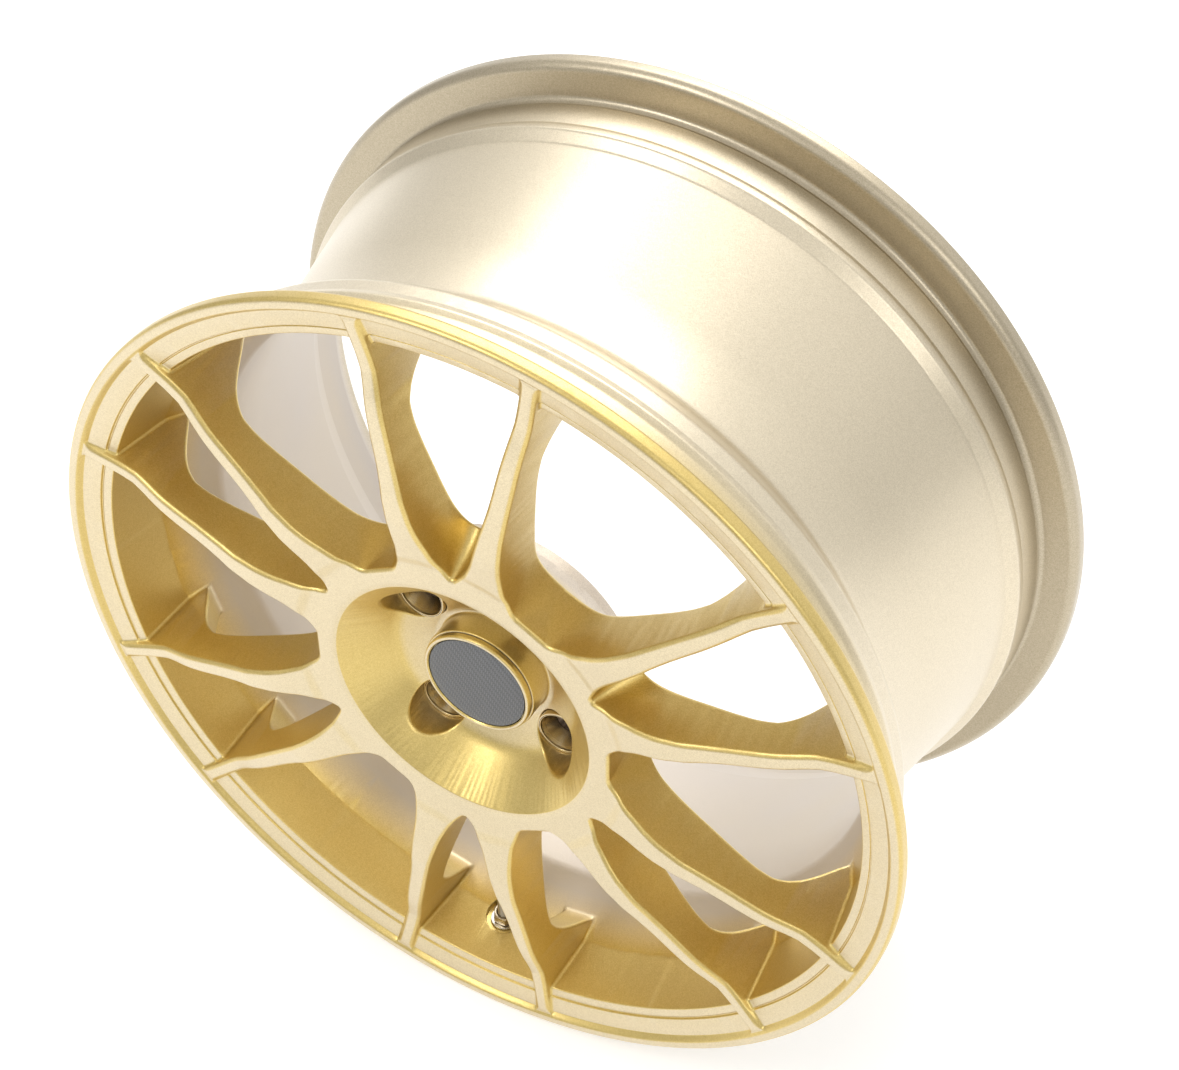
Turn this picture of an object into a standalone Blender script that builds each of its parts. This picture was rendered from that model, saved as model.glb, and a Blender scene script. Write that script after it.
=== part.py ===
"""Forged one-piece racing wheel, 17 x 8 inch, four bolts, twelve spokes in six pairs.

Units are metres. The wheel stands upright: its spin axis is Y, the street side
faces -Y, +Z is up, and the tyre valve is at the bottom. The origin is on the
spin axis, midway between the front of the spokes and the rear flange's edge.
Profiles are written as (radius, depth) in millimetres, with depth measured
back from the front edge of the front flange.
"""

import math

import bmesh
import bpy
from mathutils import Matrix, Vector

MM = 0.001

# --- driving dimensions, in millimetres ---------------------------------------
FLANGE_R = 235.8            # outer radius of both flanges
SEAT_R = 217.6              # tyre bead seat
RIM_DEPTH = 225.2           # front flange edge to rear flange edge
SPOKE_FRONT_D = -5.1        # the spokes' foremost point
ORIGIN_D = (RIM_DEPTH + SPOKE_FRONT_D) / 2
FLANGE_T = 11.0             # thickness of each flange
BEAD_R = 4.2                # rounding of the front flange's outer edge
CURL_R = 7.8                # outward curl of the rear flange, on the tyre's side
WELL_R = 196.0              # outside of the drop centre
WALL_T = 4.6                # wall of the barrel
MOUNT_D = 62.3              # hub mounting face, behind the front edge
PAD_R = 66.8                # hub mounting pad
PAIRS = 6                   # spoke pairs
SPOKE_ANGLE = math.radians(11.4)    # spoke to the middle of its pair
WINDOW_ANGLE = math.radians(30.0)   # middle of a pair to the wide window
DRAFT = 0.106               # widening of a spoke per unit of depth
EDGE_BREAK = 1.9            # width of the break along a spoke's front edges
EDGE_DEPTH = 1.7            # depth of that break
EDGE_LEAD = 1.0             # how far the break's cut starts in front of the face
WINDOW_TIP_R = 82.0         # hub end of every window at the face
WINDOW_RIM_R = 233.0        # rim end of the window cutters, past the end of the ribs
KNEE_D = 34.0               # depth where a window's hub end stops sloping
NARROW_TIP_SLOPE = 1.45     # outward slope of a narrow window's hub end per unit of depth
WIDE_TIP_SLOPE = 0.10
NARROW_TIP_HALF = 1.0       # half width of the hub end
WIDE_TIP_HALF = 10.2
FACE_ROUNDING = 5.0         # length of a narrow window's rounded end at the face
REAR_ROUNDING = 26.0        # and behind the knee
STATIONS = (0.0, 0.015, 0.05, 0.10, 0.16, 0.23, 0.31, 0.40, 0.54, 0.76, 1.0)  # along a window
BOWL_R = 72.6               # edge of the hub's bowl, a steep cone and then a flatter one
BOWL_KNEE_R = 52.0
BOWL_KNEE_D = 28.0
BOWL_FOOT_R = 34.0
BOWL_FOOT_D = 36.5
BOSS_R = 31.2               # boss in the bowl that carries the cap
BOSS_D = 22.0
LUGS = 4
LUG_CIRCLE_R = 49.0
LUG_FIRST = math.radians(54.0)      # from +X towards +Z
POCKET_R = 13.6             # socket pocket around each bolt
BOLT_HOLE_R = 7.6
SEAT_D = 33.0               # front of the seat inserts
SEAT_T = 15.0
CAP_R = 30.4
CAP_D = 18.8                # front of the centre cap
CAP_BORE_R = 28.7
HUB_BORE_R = 34.0
VALVE_D = 36.5              # valve axis, behind the front edge
VALVE_HOLE_R = 5.75
GAP = 0.3                   # clearance between neighbouring pieces

# Facets round a full turn.
FINE = 60
MEDIUM = 36
COARSE = 20

# Front and rear faces of a spoke in side view: (radius, depth).
FACE = ((72.6, 3.4), (84.0, 2.2), (97.0, -0.6), (112.0, -4.1), (126.0, SPOKE_FRONT_D), (140.0, -4.2),
        (160.0, -1.6), (182.0, 0.7), (200.0, 3.4), (212.0, 2.6), (226.6, 0.7))
REAR = ((206.0, 55.0), (197.5, 46.3), (187.3, 30.5), (178.0, 22.2), (166.0, 19.0), (140.0, 22.0),
        (105.0, 28.0), (92.0, 31.6), (80.0, 38.5), (71.5, 47.0), (68.0, 55.0))
# Half width of a spoke's front face: (radius, half width).
HALF_WIDTH = ((82.0, 16.2), (89.0, 12.2), (96.0, 9.0), (104.0, 7.2), (113.0, 5.9), (123.0, 5.0),
              (133.0, 4.2), (148.0, 3.4), (186.0, 2.6), (236.0, 2.3))

GOLD = (0.60, 0.42, 0.14, 1.0)
SILVER = (0.62, 0.62, 0.64, 1.0)
BRONZE = (0.30, 0.22, 0.15, 1.0)
BLACK = (0.03, 0.03, 0.035, 1.0)
BRASS = (0.70, 0.50, 0.20, 1.0)
WHITE = (0.85, 0.85, 0.83, 1.0)


# --- helpers ------------------------------------------------------------------
def clear_scene():
    for obj in list(bpy.data.objects):
        bpy.data.objects.remove(obj, do_unlink=True)


def material(name, colour, roughness, metallic):
    mat = bpy.data.materials.new(name)
    mat.use_nodes = True
    shader = mat.node_tree.nodes["Principled BSDF"]
    shader.inputs["Base Color"].default_value = colour
    shader.inputs["Roughness"].default_value = roughness
    shader.inputs["Metallic"].default_value = metallic
    return mat


def new_object(name, bm, mat=None, origin=(0.0, 0.0, 0.0)):
    """Object from a bmesh in world metres, with its origin moved to a point."""
    bmesh.ops.recalc_face_normals(bm, faces=bm.faces)
    bmesh.ops.translate(bm, verts=bm.verts, vec=-Vector(origin))
    mesh = bpy.data.meshes.new(name)
    bm.to_mesh(mesh)
    bm.free()
    mesh.shade_smooth()
    mesh.set_sharp_from_angle(angle=math.radians(30.0))
    obj = bpy.data.objects.new(name, mesh)
    obj.location = origin
    if mat is not None:
        mesh.materials.append(mat)
    bpy.context.scene.collection.objects.link(obj)
    return obj


def cutter(name, bm):
    obj = new_object(name, bm)
    obj.hide_render = True
    obj.display_type = "WIRE"
    return obj


def boolean(obj, other, operation):
    mod = obj.modifiers.new(other.name, "BOOLEAN")
    mod.operation = operation
    mod.solver = "EXACT"
    mod.object = other


def wheel_frame():
    """Turns (radius, 0, depth) into the wheel's frame: the axis along +Y, millimetres to metres."""
    shift = Matrix.Translation((0.0, -ORIGIN_D * MM, 0.0))
    turn = Matrix(((MM, 0, 0, 0), (0, 0, MM, 0), (0, MM, 0, 0), (0, 0, 0, 1)))
    return shift @ turn


def valve_frame():
    """Turns (radius, 0, height) into the valve's frame: height is the distance from the spin axis."""
    shift = Matrix.Translation((0.0, (VALVE_D - ORIGIN_D) * MM, 0.0))
    turn = Matrix(((MM, 0, 0, 0), (0, MM, 0, 0), (0, 0, -MM, 0), (0, 0, 0, 1)))
    return shift @ turn


def lug_frame(angle):
    centre = Matrix.Translation((LUG_CIRCLE_R * math.cos(angle), LUG_CIRCLE_R * math.sin(angle), 0.0))
    return wheel_frame() @ centre


def add_turned(bm, profile, segments, frame, phase=0.0):
    """Revolves a closed (radius, height) outline; points on the axis become poles."""
    rings = []
    for radius, height in profile:
        if radius < 1e-6:
            rings.append([bm.verts.new(frame @ Vector((0.0, 0.0, height)))])
            continue
        ring = []
        for i in range(segments):
            a = phase + 2 * math.pi * i / segments
            ring.append(bm.verts.new(frame @ Vector((radius * math.cos(a), radius * math.sin(a), height))))
        rings.append(ring)
    for first, second in zip(rings, rings[1:] + rings[:1]):
        if len(first) == 1 and len(second) == 1:
            continue
        for i in range(segments):
            j = (i + 1) % segments
            corners = [first[i % len(first)], first[j % len(first)],
                       second[j % len(second)], second[i % len(second)]]
            unique = [v for k, v in enumerate(corners) if v not in corners[:k]]
            bm.faces.new(unique)


def turned(name, profile, segments, frame, mat, origin=(0.0, 0.0, 0.0)):
    bm = bmesh.new()
    add_turned(bm, profile, segments, frame)
    return new_object(name, bm, mat, origin)


def add_rod(bm, radius, low, high, segments, frame):
    add_turned(bm, ((0.0, low), (radius, low), (radius, high), (0.0, high)), segments, frame)


def arc(centre, radius, start, end, steps):
    """Points on an arc in the (radius, depth) plane, angles in degrees."""
    points = []
    for i in range(steps + 1):
        a = math.radians(start + (end - start) * i / steps)
        points.append((centre[0] + radius * math.cos(a), centre[1] + radius * math.sin(a)))
    return points


def along(curve, at):
    """Value of a curve given by its points, straight between them."""
    for (x0, y0), (x1, y1) in zip(curve, curve[1:]):
        if at <= x1:
            return y0 + (y1 - y0) * max(0.0, at - x0) / (x1 - x0)
    return curve[-1][1]


# --- the forging --------------------------------------------------------------
def rim_profile():
    """Closed outline of the barrel with both flanges, starting at the front edge."""
    front = arc((FLANGE_R - BEAD_R, BEAD_R), BEAD_R, -90, 60, 4)
    front_flange = [(228.5, 9.9), (218.4, FLANGE_T + 0.9), (SEAT_R - 1.0, 15.4)]
    front_seat = [(SEAT_R - 0.4, 30.0), (SEAT_R + 0.7, 34.0), (216.4, 39.0), (215.8, 48.5)]
    well = [(199.0, 65.0), (WELL_R, 72.0), (WELL_R, 88.0), (WELL_R + 0.6, 99.0), (WELL_R + 2.6, 112.0),
            (211.2, 181.2)]
    hump = [(215.6, 185.0), (216.4, 188.8)]
    rear_seat = [(215.6, 192.5), (SEAT_R - 0.4, RIM_DEPTH - 15.0), (218.4, RIM_DEPTH - FLANGE_T - 0.9)]
    rear = arc((FLANGE_R - CURL_R, RIM_DEPTH - 10.2 + CURL_R), CURL_R, -86, 0, 4)
    rear += [(FLANGE_R, RIM_DEPTH - 1.2), (FLANGE_R - 1.2, RIM_DEPTH)]
    rear_inside = [(227.5, RIM_DEPTH), (214.6, 218.0), (212.3, 209.0), (SEAT_R - WALL_T - 0.7, 192.6),
                   (206.6, 180.5), (WELL_R + 2.5 - WALL_T, 112.0), (WELL_R + 0.5 - WALL_T, 99.0),
                   (WELL_R - WALL_T, 88.0), (WELL_R - WALL_T, 71.0)]
    ledge = [(201.1, 51.6), (208.0, 38.2)]
    lip = [(213.0, 7.3), (217.6, 6.0), (227.6, 3.4), (228.3, 2.2)]
    return (front + front_flange + front_seat + well + hump + rear_seat + rear + rear_inside
            + ledge + lip)


def disc_profile():
    """Closed outline of the hub and spokes before the windows are cut."""
    bowl = [(BOWL_R - 0.6, 4.2), (BOWL_KNEE_R, BOWL_KNEE_D), (BOWL_FOOT_R, BOWL_FOOT_D)]
    boss = [(BOSS_R, BOWL_FOOT_D), (BOSS_R, BOSS_D), (CAP_BORE_R, BOSS_D)]
    bore = [(CAP_BORE_R, 45.0), (HUB_BORE_R, 45.0), (HUB_BORE_R, MOUNT_D)]
    pad = [(PAD_R - 1.0, MOUNT_D), (PAD_R, MOUNT_D - 1.0)]
    rim_end = [(227.8, 2.0), (227.8, 6.5), (215.6, 10.0), (211.4, 39.0)]
    return list(FACE) + rim_end + list(REAR) + pad[::-1] + bore[::-1] + boss[::-1] + bowl[::-1]


def spoke_gap(radius, widening, wide):
    """Half width of the gap between two spokes at a radius, with each spoke side widened."""
    spoke = radius * math.sin(SPOKE_ANGLE)
    half = along(HALF_WIDTH, radius) + widening
    if not wide:
        return spoke - half
    edge = math.asin(min(1.0, (spoke + half) / radius))
    return radius * math.sin(WINDOW_ANGLE - edge)


def window_outline(middle, wide, depth, follows_face, widening):
    """One closed outline of a window cutter at a depth, or at a depth below the spokes' face."""
    slope = WIDE_TIP_SLOPE if wide else NARROW_TIP_SLOPE
    tip = WINDOW_TIP_R + slope * max(0.0, min(depth, KNEE_D))
    least = WIDE_TIP_HALF if wide else NARROW_TIP_HALF
    rounding_length = FACE_ROUNDING if depth < KNEE_D else REAR_ROUNDING
    outward = Vector((math.cos(middle), math.sin(middle), 0.0))
    across = Vector((-math.sin(middle), math.cos(middle), 0.0))
    left, right = [], []
    for station in STATIONS:
        radius = tip + (WINDOW_RIM_R - tip) * station
        half = spoke_gap(radius, widening, wide)
        if not wide:
            filled = 1.0 - min(1.0, (radius - tip) / rounding_length)
            half *= math.sqrt(1.0 - filled ** 2)
        half = max(half, least)
        level = Vector((0.0, 0.0, depth + (along(FACE, radius) if follows_face else 0.0)))
        reach = outward * math.sqrt(radius ** 2 - half ** 2)
        left.append(reach + across * half + level)
        right.append(reach - across * half + level)
    return left + right[::-1]


def add_window(bm, middle, wide):
    """One window cutter, a stack of outlines from in front of the spokes to behind the disc."""
    levels = ((-14.0, False, -EDGE_LEAD), (-EDGE_LEAD, True, -EDGE_LEAD), (EDGE_DEPTH, True, EDGE_BREAK),
              (KNEE_D, False, EDGE_BREAK + DRAFT * KNEE_D), (76.0, False, EDGE_BREAK + DRAFT * 76.0))
    frame = wheel_frame()
    rings = []
    for depth, follows_face, widening in levels:
        outline = window_outline(middle, wide, depth, follows_face, widening)
        rings.append([bm.verts.new(frame @ point) for point in outline])
    for first, second in zip(rings, rings[1:]):
        for i in range(len(first)):
            j = (i + 1) % len(first)
            bm.faces.new((first[i], first[j], second[j], second[i]))
    bm.faces.new(rings[0])
    bm.faces.new(rings[-1][::-1])


def windows(wide):
    bm = bmesh.new()
    for pair in range(PAIRS):
        middle = math.radians(-90.0 + 360.0 / PAIRS * pair)
        add_window(bm, middle + (WINDOW_ANGLE if wide else 0.0), wide)
    return cutter("wide_window_cutter" if wide else "narrow_window_cutter", bm)


def lug_angles():
    return [LUG_FIRST + 2 * math.pi * i / LUGS for i in range(LUGS)]


def lug_cutter():
    """Socket pocket in front of each seat and the bolt hole behind it."""
    bm = bmesh.new()
    shoulder = SEAT_D + SEAT_T + GAP
    profile = ((0.0, -10.0), (POCKET_R, -10.0), (POCKET_R, shoulder), (BOLT_HOLE_R, shoulder),
               (BOLT_HOLE_R, 80.0), (0.0, 80.0))
    for angle in lug_angles():
        add_turned(bm, profile, COARSE, lug_frame(angle))
    return cutter("lug_cutter", bm)


def valve_cutter():
    """Valve hole with a spot face on both sides of the rim wall."""
    bm = bmesh.new()
    profile = ((0.0, 196.0), (10.6, 196.0), (10.6, 211.0), (VALVE_HOLE_R, 211.0),
               (VALVE_HOLE_R, 215.4), (9.2, 215.4), (9.2, 226.0), (0.0, 226.0))
    add_turned(bm, profile, COARSE, valve_frame())
    return cutter("valve_cutter", bm)


def make_forging():
    gold = material("gold_metallic_paint", GOLD, 0.35, 0.9)
    forging = turned("wheel_forging", disc_profile(), 48, wheel_frame(), gold)
    bm = bmesh.new()
    add_turned(bm, rim_profile(), FINE, wheel_frame(), math.pi / FINE)
    rim = cutter("rim_blank", bm)
    boolean(rim, valve_cutter(), "DIFFERENCE")
    boolean(forging, lug_cutter(), "DIFFERENCE")
    boolean(forging, windows(False), "DIFFERENCE")
    boolean(forging, windows(True), "DIFFERENCE")
    boolean(forging, rim, "UNION")


def make_lug_seats():
    """Pressed-in steel inserts with a 60 degree conical seat for the wheel bolts."""
    steel = material("seat_steel", BRONZE, 0.3, 1.0)
    outer = POCKET_R - GAP
    profile = ((outer, SEAT_D), (outer, SEAT_D + SEAT_T), (BOLT_HOLE_R, SEAT_D + SEAT_T),
               (BOLT_HOLE_R, SEAT_D + 9.6), (outer - 1.6, SEAT_D + 1.4), (outer - 1.6, SEAT_D))
    for number, angle in enumerate(lug_angles(), start=1):
        turned(f"lug_seat_insert_{number}", profile, COARSE, lug_frame(angle), steel)


# --- centre cap and hub ring --------------------------------------------------
def make_centre_cap():
    frame = wheel_frame()
    origin = (0.0, (CAP_D - ORIGIN_D) * MM, 0.0)
    skirt = CAP_BORE_R - GAP
    shell = ((27.9, CAP_D), (28.3, CAP_D - 0.4), (CAP_R - 0.6, CAP_D - 0.4), (CAP_R, CAP_D + 0.3),
             (CAP_R, 21.7), (skirt, 21.7), (skirt, 36.0), (skirt - 2.4, 36.0), (skirt - 2.4, 23.6),
             (0.0, 23.6), (0.0, 21.2), (27.9, 21.2))
    plastic = material("cap_shell_plastic", GOLD, 0.35, 0.6)
    cap = turned("cap_shell", shell, MEDIUM, frame, plastic, origin)
    boolean(cap, finger_slots(), "DIFFERENCE")
    emblem = ((0.0, 18.5), (20.0, 18.7), (27.5, 19.1), (27.5, 20.3), (0.0, 20.3))
    turned("cap_emblem_disc", emblem, MEDIUM, frame, material("emblem_carbon", BLACK, 0.2, 0.2), origin)
    pad = ((0.0, 20.6), (26.6, 20.6), (26.6, 20.9), (0.0, 20.9))
    turned("cap_adhesive_pad", pad, MEDIUM, frame, material("adhesive_foam", WHITE, 0.9, 0.0), origin)
    ring_r = skirt - 2.4 - GAP - 0.7
    wire = arc((ring_r, 30.5), 0.7, 0, 288, 4)
    turned("cap_spring_ring", wire, MEDIUM, frame, material("spring_wire", SILVER, 0.3, 1.0), origin)


def finger_slots():
    """Slots that split the cap's skirt into eight clip fingers."""
    bm = bmesh.new()
    for i in range(4):
        turn = Matrix.Rotation(math.radians(22.5 + 45.0 * i), 4, "Z")
        size = Matrix.Diagonal((70.0, 4.0, 14.0, 1.0))
        place = Matrix.Translation((0.0, 0.0, 32.0))
        bmesh.ops.create_cube(bm, size=1.0, matrix=wheel_frame() @ turn @ place @ size)
    return cutter("finger_slot_cutter", bm)


def make_hub_ring():
    """Ring that centres the wheel on the car's hub, with the wire clip that keeps it in."""
    frame = wheel_frame()
    outer = HUB_BORE_R - GAP
    ring = ((29.05, 45.3), (outer, 45.3), (outer, 52.0), (outer - 1.5, 52.0), (outer - 1.5, 54.4),
            (outer, 54.4), (outer, MOUNT_D - 0.2), (30.1, MOUNT_D - 0.2), (29.05, MOUNT_D - 1.2))
    turned("hub_centring_ring", ring, MEDIUM, frame, material("ring_aluminium", SILVER, 0.4, 1.0))
    wire = arc((outer - 0.75, 53.2), 0.45, 0, 288, 4)
    turned("hub_ring_clip", wire, MEDIUM, frame, material("clip_wire", SILVER, 0.3, 1.0))


# --- tyre valve ---------------------------------------------------------------
def make_valve_body():
    frame = valve_frame()
    nickel = material("valve_nickel", SILVER, 0.25, 1.0)
    stem = ((7.2, 217.7), (7.2, 220.0), (1.5, 220.0), (1.5, 192.0), (2.6, 192.0), (2.6, 172.0),
            (3.5, 172.0), (3.85, 172.4), (3.85, 181.5), (4.1, 183.0), (4.1, 217.7))
    turned("valve_stem", stem, COARSE, frame, nickel)
    grommet = ((4.4, 211.6), (5.4, 211.6), (5.4, 215.7), (7.8, 215.7), (7.8, 217.4), (4.4, 217.4))
    turned("valve_grommet", grommet, COARSE, frame, material("grommet_rubber", BLACK, 0.8, 0.0))
    washer = ((4.4, 209.5), (8.0, 209.5), (8.0, 210.7), (4.4, 210.7))
    turned("valve_washer", washer, COARSE, frame, material("washer_steel", SILVER, 0.3, 1.0))
    nut = bmesh.new()
    add_turned(nut, ((4.4, 203.6), (6.2, 203.6), (6.93, 204.1), (6.93, 209.2), (4.4, 209.2)), 6, frame)
    nut_object = new_object("valve_nut", nut, material("nut_nickel", SILVER, 0.25, 1.0))
    bore = bmesh.new()
    add_rod(bore, 4.4, 202.0, 211.0, COARSE, frame)
    boolean(nut_object, cutter("nut_bore_cutter", bore), "DIFFERENCE")


def make_valve_core():
    frame = valve_frame()
    brass = material("core_brass", BRASS, 0.3, 1.0)
    body = ((0.85, 174.0), (2.25, 174.0), (2.25, 180.5), (1.5, 180.5), (1.5, 183.5), (2.1, 183.5),
            (2.1, 185.0), (0.85, 185.0))
    turned("valve_core_body", body, 16, frame, brass)
    gasket = ((1.8, 180.8), (2.3, 180.8), (2.3, 183.2), (1.8, 183.2))
    turned("valve_core_gasket", gasket, 16, frame, material("gasket_ptfe", WHITE, 0.5, 0.0))
    pin_origin = (0.0, (VALVE_D - ORIGIN_D) * MM, -172.6 * MM)
    pin = ((0.0, 172.6), (0.8, 172.6), (0.8, 173.2), (0.5, 173.5), (0.5, 186.9), (1.8, 186.9),
           (1.8, 187.6), (0.5, 187.6), (0.5, 196.0), (0.0, 196.0))
    turned("valve_core_pin", pin, 12, frame, material("pin_steel", SILVER, 0.3, 1.0), pin_origin)
    seal = ((0.8, 185.3), (1.8, 185.3), (1.8, 186.6), (0.8, 186.6))
    turned("valve_core_seal", seal, 16, frame, material("core_rubber", BLACK, 0.8, 0.0), pin_origin)
    make_core_spring(frame)


def make_core_spring(frame):
    """Coil between the pin's collar and the step inside the stem."""
    turns, steps, sides = 4, 10, 5
    coil_r, wire_r, low, high = 1.7, 0.22, 188.15, 191.45
    bm = bmesh.new()
    rings = []
    total = turns * steps
    for i in range(total + 1):
        a = 2 * math.pi * i / steps
        out = Vector((math.cos(a), math.sin(a), 0.0))
        centre = out * coil_r + Vector((0.0, 0.0, low + (high - low) * i / total))
        ring = []
        for k in range(sides):
            b = 2 * math.pi * k / sides
            offset = out * (wire_r * math.cos(b)) + Vector((0.0, 0.0, wire_r * math.sin(b)))
            ring.append(bm.verts.new(frame @ (centre + offset)))
        rings.append(ring)
    for first, second in zip(rings, rings[1:]):
        for k in range(sides):
            bm.faces.new((first[k], first[(k + 1) % sides], second[(k + 1) % sides], second[k]))
    bm.faces.new(rings[0][::-1])
    bm.faces.new(rings[-1])
    new_object("valve_core_spring", bm, material("spring_steel", SILVER, 0.3, 1.0))


def make_valve_cap():
    frame = valve_frame()
    origin = (0.0, (VALVE_D - ORIGIN_D) * MM, -167.0 * MM)
    cap = ((0.0, 167.0), (4.2, 167.0), (5.1, 167.8), (5.1, 180.4), (4.15, 180.4), (4.15, 169.0),
           (0.0, 169.0))
    turned("valve_cap", cap, COARSE, frame, material("valve_cap_plastic", BLACK, 0.45, 0.0), origin)
    seal = ((0.0, 169.3), (3.8, 169.3), (3.8, 171.7), (0.0, 171.7))
    turned("valve_cap_seal", seal, 16, frame, material("cap_rubber", BLACK, 0.8, 0.0), origin)


def main():
    clear_scene()
    make_forging()
    make_lug_seats()
    make_centre_cap()
    make_hub_ring()
    make_valve_body()
    make_valve_core()
    make_valve_cap()


main()
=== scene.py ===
"""Looks for the forged racing wheel: its metal, paint, cap, valve, floor, light and camera.

The wheel's metal is built as a field that is negative inside the metal. Turned
outlines give the rim and the side view of the spokes, and the windows, bolt
pockets and valve seat are cut from them with soft corners. A surface net turns
the field into a mesh. Lengths are millimetres until a mesh is written.
"""

import math

import bmesh
import bpy
import numpy as np
from mathutils import Matrix, Vector


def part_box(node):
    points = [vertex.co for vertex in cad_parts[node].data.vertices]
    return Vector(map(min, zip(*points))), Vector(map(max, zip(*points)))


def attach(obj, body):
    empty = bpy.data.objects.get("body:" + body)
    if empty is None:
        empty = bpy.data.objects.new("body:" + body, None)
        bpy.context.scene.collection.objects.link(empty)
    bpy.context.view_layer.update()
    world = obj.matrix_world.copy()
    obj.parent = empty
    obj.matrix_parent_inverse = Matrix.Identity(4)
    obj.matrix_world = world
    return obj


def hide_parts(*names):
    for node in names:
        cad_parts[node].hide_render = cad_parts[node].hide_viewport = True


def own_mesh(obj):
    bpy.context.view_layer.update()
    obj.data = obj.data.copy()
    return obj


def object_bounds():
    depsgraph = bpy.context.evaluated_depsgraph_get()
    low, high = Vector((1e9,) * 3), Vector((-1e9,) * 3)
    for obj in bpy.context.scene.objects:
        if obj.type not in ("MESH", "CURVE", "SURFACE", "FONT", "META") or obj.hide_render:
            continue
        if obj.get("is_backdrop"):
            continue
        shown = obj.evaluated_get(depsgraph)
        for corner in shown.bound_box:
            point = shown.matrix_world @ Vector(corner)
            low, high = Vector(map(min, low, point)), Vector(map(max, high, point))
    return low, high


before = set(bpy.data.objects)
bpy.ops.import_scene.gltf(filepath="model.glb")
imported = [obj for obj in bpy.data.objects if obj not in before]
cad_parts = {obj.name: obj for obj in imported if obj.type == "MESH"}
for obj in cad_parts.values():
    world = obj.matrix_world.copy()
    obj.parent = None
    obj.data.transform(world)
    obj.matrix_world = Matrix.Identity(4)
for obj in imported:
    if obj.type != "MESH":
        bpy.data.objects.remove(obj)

MM = 0.001
CAD_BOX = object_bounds()
GRID_SCALE = 1.0

# --- driving dimensions, in millimetres and degrees
RIM_DEPTH = 225.2
REAR_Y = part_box("wheel_forging")[1].y / MM      # rear edge of the rim
FLANGE_R = 235.8
SPOKE_ANGLE = 11.4          # spoke to the middle of its pair
PAIR_STEP = 60.0
DRAFT = 0.106               # widening of a spoke per unit of depth
BREAK_W = 1.9               # break along a spoke's front edges
BREAK_D = 1.5
WIDE_END = 82.0             # hub end of a wide window, from the spin axis
MOUNT_D = 62.3
PAD_R = 66.8
BORE_R = 28.7
RING_BORE_R = 34.0          # rear bore that holds the centring ring
RING_SHELF_D = 45.0
LUG_R = 49.0
LUG_ANGLES = (54.0, 144.0, 234.0, 324.0)
POCKET_R = 13.5
POCKET_D = 48.3
BOLT_R = 7.9
VALVE_D = 36.5
VALVE_HOLE_R = 5.75
NUT_FLAT_R = 10.6           # spot face under the valve's nut
NUT_FLAT_H = 211.0          # its distance from the spin axis
GROMMET_FLAT_R = 9.2
GROMMET_FLAT_H = 215.4
VALVE_CUT_H = 190.0         # the valve's cuts reach no nearer to the spin axis
THREAD_PITCH = 0.794        # the valve cap's thread, and the stem's
RIM_FILLET = 2.4            # where the spokes run into the rim
POCKET_EDGE = 1.2
VALVE_EDGE = 0.5
FORK_FILLET = (2.5, 0.9)    # rounding between a pair's spokes: at the face, and growth with depth
HUB_FILLET = (1.0, 0.55)
FILLET_END_D = 34.0
FAR = 50.0
HUB_SEAM = 78.0             # radius where the hub's mesh meets the spokes' mesh
BARREL_SEAM = 62.0          # depth where the spokes' mesh meets the barrel's
SPOKES_TRIANGLES = 17000    # for each pair of spokes with its part of the rim
HUB_TRIANGLES = 22000
BARREL_COLUMNS = 300
FRONT_SKIN_D = 20.0         # at the hub's seam the front skin is above this depth
OUTER_SKIN_R = 200.0        # at the barrel's seam the outer skin is outside this radius
FIELD_PITCH = 0.3           # grid of the turned outlines' distance
RIM_ARC_STEP = 11.0         # degrees between the points of a rounded corner
PIECE_ARC_STEP = 15.0

# Side view of a spoke's front face, inside and outside one radius: (radius, depth).
FACE_IN = ((72.8, 3.6), (76, 2.8), (82, 2.3), (89, 1.7), (96, -0.6), (103, -1.9), (112.4, -3.9),
           (121.7, -4.9), (131, -4.9), (140.5, -3.8), (150, -2.8), (159, -2.1), (168.5, -1.5),
           (178, -0.6), (185, 0.6), (192, 2.2), (199, 3.5))
FACE_OUT = ((199, 3.5), (206, 3.2), (213, 2.5), (220, 1.6), (226, 0.9), (240, -0.6))
# Corners of the hub's bowl and of the boss that carries the cap: (radius, depth, rounding).
BOWL = ((28.7, 22.0, 0.5), (31.2, 22.0, 0.8), (31.2, 36.5, 1.2), (34.2, 36.5, 5.0),
        (52.0, 28.0, 20.0), (72.4, 3.8, 1.0))
# Side view of the hub's and spokes' rear: (radius, depth).
REAR = ((66.8, 60.6), (67.3, 56.0), (70.0, 49.0), (76.0, 41.0), (84.0, 35.0), (93.6, 30.4),
        (105.0, 27.2), (121.7, 24.2), (140.5, 21.9), (152.0, 20.4), (165.0, 19.2), (172.0, 19.6),
        (178.0, 22.2), (184.0, 27.0), (190.0, 34.5), (196.5, 44.5), (203.5, 55.0))
# Half width of a spoke's front face: (radius, half width).
HALF_WIDTH = ((70, 26.0), (83, 16.2), (89, 12.2), (96, 9.0), (103, 7.3), (112, 5.9), (122, 5.0),
              (131, 4.3), (141, 3.7), (152, 3.3), (168, 3.1), (185, 2.7), (206, 2.4), (240, 2.3))
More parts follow.
